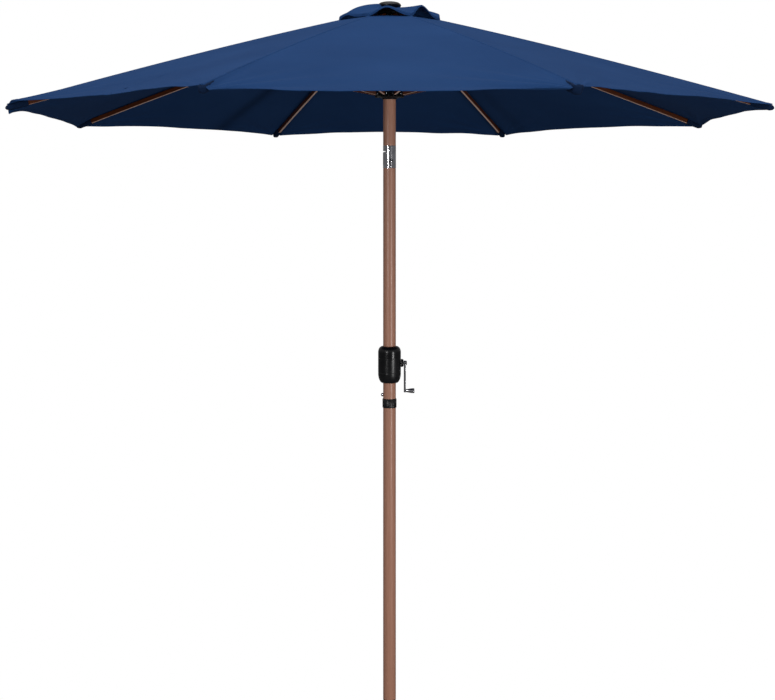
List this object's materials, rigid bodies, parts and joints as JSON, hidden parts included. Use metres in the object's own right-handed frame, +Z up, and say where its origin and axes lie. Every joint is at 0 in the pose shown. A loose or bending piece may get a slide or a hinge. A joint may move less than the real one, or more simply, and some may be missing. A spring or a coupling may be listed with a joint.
{
  "type": "patio umbrella",
  "caption": "Market umbrella: round pole with crank housing and push-button tilt, folding ribs and struts, flat-panelled vented cloth canopy; no base.",
  "frame": {"origin": "centre of the flat underside of the pole's foot", "axes": "+Z up along the pole, +X towards the crank, -Y towards the front panel"},
  "size_m": [2.402, 2.402, 2.44],
  "materials": {
    "wood_tone_tube": "satin",
    "black_plastic": "satin",
    "grey_plastic": "satin",
    "bright_plate": "polished",
    "dull_zinc": "satin",
    "spring_steel": "satin",
    "canopy_cloth": "matte"
  },
  "bodies": {
    "root": {"pole_foot_plug": "black_plastic", "lower_pole": "wood_tone_tube", "upper_pole": "wood_tone_tube", "joint_spigot": "dull_zinc", "joint_collar": "black_plastic", "snap_spring": "spring_steel", "crank_housing_front": "black_plastic", "crank_housing_back": "black_plastic", "housing_screw_lower": "dull_zinc", "housing_screw_upper": "dull_zinc", "crank_bush": "grey_plastic", "tilt_lower_sleeve": "bright_plate", "tilt_pin": "dull_zinc", "tilt_button_spring": "spring_steel"},
    "top_mast": {"tilt_upper_sleeve": "bright_plate", "top_mast": "wood_tone_tube", "pulley_axle": "dull_zinc", "mast_top_plug": "black_plastic", "top_hub": "black_plastic", "hub_cover": "black_plastic", "finial": "black_plastic", "finial_stud": "dull_zinc", "vent_cap": "canopy_cloth"},
    "runner": {"runner": "black_plastic"},
    "crank": {"winding_drum": "grey_plastic", "crank_shaft": "dull_zinc", "crank_boss": "black_plastic", "crank_arm": "bright_plate", "crank_cap": "black_plastic", "knob_pin": "dull_zinc"},
    "knob": {"crank_knob": "bright_plate"},
    "pulley": {"cord_pulley": "grey_plastic"},
    "tilt_button": {"tilt_button": "bright_plate"},
    "snap_button": {"snap_button": "bright_plate"},
    "rib_1": {"rib_1": "wood_tone_tube", "canopy_panel_1": "canopy_cloth"},
    "strut_1": {"strut_1": "wood_tone_tube"},
    "rib_2": {"rib_2": "wood_tone_tube", "canopy_panel_2": "canopy_cloth"},
    "strut_2": {"strut_2": "wood_tone_tube"},
    "rib_3": {"rib_3": "wood_tone_tube", "canopy_panel_3": "canopy_cloth"},
    "strut_3": {"strut_3": "wood_tone_tube"},
    "rib_4": {"rib_4": "wood_tone_tube", "canopy_panel_4": "canopy_cloth"},
    "strut_4": {"strut_4": "wood_tone_tube"},
    "rib_5": {"rib_5": "wood_tone_tube", "canopy_panel_5": "canopy_cloth"},
    "strut_5": {"strut_5": "wood_tone_tube"},
    "rib_6": {"rib_6": "wood_tone_tube", "canopy_panel_6": "canopy_cloth"},
    "strut_6": {"strut_6": "wood_tone_tube"},
    "rib_7": {"rib_7": "wood_tone_tube", "canopy_panel_7": "canopy_cloth"},
    "strut_7": {"strut_7": "wood_tone_tube"},
    "rib_8": {"rib_8": "wood_tone_tube", "canopy_panel_8": "canopy_cloth"},
    "strut_8": {"strut_8": "wood_tone_tube"}
  },
  "joints": [
    {"name": "runner_slide", "type": "slide", "parent": "top_mast", "child": "runner", "axis": [0, 0, 1], "range_m": [-0.82206, 0]},
    {"name": "canopy_tilt", "type": "hinge", "parent": "root", "child": "top_mast", "pos_m": [0, 0, 1.8655], "axis": [0.2079, -0.9781, 0], "range_deg": [0, 30]},
    {"name": "tilt_button_press", "type": "slide", "parent": "root", "child": "tilt_button", "axis": [-0.2079, 0.9781, 0], "range_m": [0, 0.004], "stiffness_N_per_m": 400, "springref_m": -0.002, "deforming": ["tilt_button_spring"]},
    {"name": "snap_button_press", "type": "slide", "parent": "root", "child": "snap_button", "axis": [1, 0, 0], "range_m": [0, 0.007], "stiffness_N_per_m": 500, "springref_m": -0.002, "deforming": ["snap_spring"]},
    {"name": "crank_turn", "type": "hinge", "parent": "root", "child": "crank", "pos_m": [0, 0, 1.177], "axis": [1, 0, 0], "range_deg": [-3600.5, 0.5]},
    {"name": "knob_spin", "type": "hinge", "parent": "crank", "child": "knob", "pos_m": [0.0723, 0, 1.08], "axis": [1, 0, 0], "continuous": true},
    {"name": "pulley_turn", "type": "hinge", "parent": "top_mast", "child": "pulley", "pos_m": [0.014, 0, 2.35], "axis": [0, 1, 0], "range_deg": [-6281.1, 1]},
    {"name": "rib_1_fold", "type": "hinge", "parent": "top_mast", "child": "rib_1", "pos_m": [0.01301, -0.03141, 2.39], "axis": [0.9239, 0.3827, 0], "range_deg": [-0.05, 71.21], "deforming": ["canopy_panel_1", "vent_cap"]},
    {"name": "strut_1_fold", "type": "hinge", "parent": "rib_1", "child": "strut_1", "pos_m": [0.21838, -0.52721, 2.22975], "axis": [0.9239, 0.3827, 0], "range_deg": [-148.32, 0.05]},
    {"name": "rib_2_fold", "type": "hinge", "parent": "top_mast", "child": "rib_2", "pos_m": [0.03141, -0.01301, 2.39], "axis": [0.3827, 0.9239, 0], "range_deg": [-0.05, 71.21], "deforming": ["canopy_panel_2"]},
    {"name": "strut_2_fold", "type": "hinge", "parent": "rib_2", "child": "strut_2", "pos_m": [0.52721, -0.21838, 2.22975], "axis": [0.3827, 0.9239, 0], "range_deg": [-148.32, 0.05]},
    {"name": "rib_3_fold", "type": "hinge", "parent": "top_mast", "child": "rib_3", "pos_m": [0.03141, 0.01301, 2.39], "axis": [-0.3827, 0.9239, 0], "range_deg": [-0.05, 71.21], "deforming": ["canopy_panel_3"]},
    {"name": "strut_3_fold", "type": "hinge", "parent": "rib_3", "child": "strut_3", "pos_m": [0.52721, 0.21838, 2.22975], "axis": [-0.3827, 0.9239, 0], "range_deg": [-148.32, 0.05]},
    {"name": "rib_4_fold", "type": "hinge", "parent": "top_mast", "child": "rib_4", "pos_m": [0.01301, 0.03141, 2.39], "axis": [-0.9239, 0.3827, 0], "range_deg": [-0.05, 71.21], "deforming": ["canopy_panel_4"]},
    {"name": "strut_4_fold", "type": "hinge", "parent": "rib_4", "child": "strut_4", "pos_m": [0.21838, 0.52721, 2.22975], "axis": [-0.9239, 0.3827, 0], "range_deg": [-148.32, 0.05]},
    {"name": "rib_5_fold", "type": "hinge", "parent": "top_mast", "child": "rib_5", "pos_m": [-0.01301, 0.03141, 2.39], "axis": [-0.9239, -0.3827, 0], "range_deg": [-0.05, 71.21], "deforming": ["canopy_panel_5"]},
    {"name": "strut_5_fold", "type": "hinge", "parent": "rib_5", "child": "strut_5", "pos_m": [-0.21838, 0.52721, 2.22975], "axis": [-0.9239, -0.3827, 0], "range_deg": [-148.32, 0.05]},
    {"name": "rib_6_fold", "type": "hinge", "parent": "top_mast", "child": "rib_6", "pos_m": [-0.03141, 0.01301, 2.39], "axis": [-0.3827, -0.9239, 0], "range_deg": [-0.05, 71.21], "deforming": ["canopy_panel_6"]},
    {"name": "strut_6_fold", "type": "hinge", "parent": "rib_6", "child": "strut_6", "pos_m": [-0.52721, 0.21838, 2.22975], "axis": [-0.3827, -0.9239, 0], "range_deg": [-148.32, 0.05]},
    {"name": "rib_7_fold", "type": "hinge", "parent": "top_mast", "child": "rib_7", "pos_m": [-0.03141, -0.01301, 2.39], "axis": [0.3827, -0.9239, 0], "range_deg": [-0.05, 71.21], "deforming": ["canopy_panel_7"]},
    {"name": "strut_7_fold", "type": "hinge", "parent": "rib_7", "child": "strut_7", "pos_m": [-0.52721, -0.21838, 2.22975], "axis": [0.3827, -0.9239, 0], "range_deg": [-148.32, 0.05]},
    {"name": "rib_8_fold", "type": "hinge", "parent": "top_mast", "child": "rib_8", "pos_m": [-0.01301, -0.03141, 2.39], "axis": [0.9239, -0.3827, 0], "range_deg": [-0.05, 71.21], "deforming": ["canopy_panel_8"]},
    {"name": "strut_8_fold", "type": "hinge", "parent": "rib_8", "child": "strut_8", "pos_m": [-0.21838, -0.52721, 2.22975], "axis": [0.9239, -0.3827, 0], "range_deg": [-148.32, 0.05]}
  ],
  "couplings": [
    {"joint": "crank_turn", "follows": "runner_slide", "rad_per_m": 76.432},
    {"joint": "pulley_turn", "follows": "runner_slide", "rad_per_m": 133.33},
    {"joint": "rib_1_fold", "follows": "runner_slide", "rad_per_m": -1.5108},
    {"joint": "strut_1_fold", "follows": "runner_slide", "rad_per_m": 3.148},
    {"joint": "rib_2_fold", "follows": "runner_slide", "rad_per_m": -1.5108},
    {"joint": "strut_2_fold", "follows": "runner_slide", "rad_per_m": 3.148},
    {"joint": "rib_3_fold", "follows": "runner_slide", "rad_per_m": -1.5108},
    {"joint": "strut_3_fold", "follows": "runner_slide", "rad_per_m": 3.148},
    {"joint": "rib_4_fold", "follows": "runner_slide", "rad_per_m": -1.5108},
    {"joint": "strut_4_fold", "follows": "runner_slide", "rad_per_m": 3.148},
    {"joint": "rib_5_fold", "follows": "runner_slide", "rad_per_m": -1.5108},
    {"joint": "strut_5_fold", "follows": "runner_slide", "rad_per_m": 3.148},
    {"joint": "rib_6_fold", "follows": "runner_slide", "rad_per_m": -1.5108},
    {"joint": "strut_6_fold", "follows": "runner_slide", "rad_per_m": 3.148},
    {"joint": "rib_7_fold", "follows": "runner_slide", "rad_per_m": -1.5108},
    {"joint": "strut_7_fold", "follows": "runner_slide", "rad_per_m": 3.148},
    {"joint": "rib_8_fold", "follows": "runner_slide", "rad_per_m": -1.5108},
    {"joint": "strut_8_fold", "follows": "runner_slide", "rad_per_m": 3.148}
  ]
}
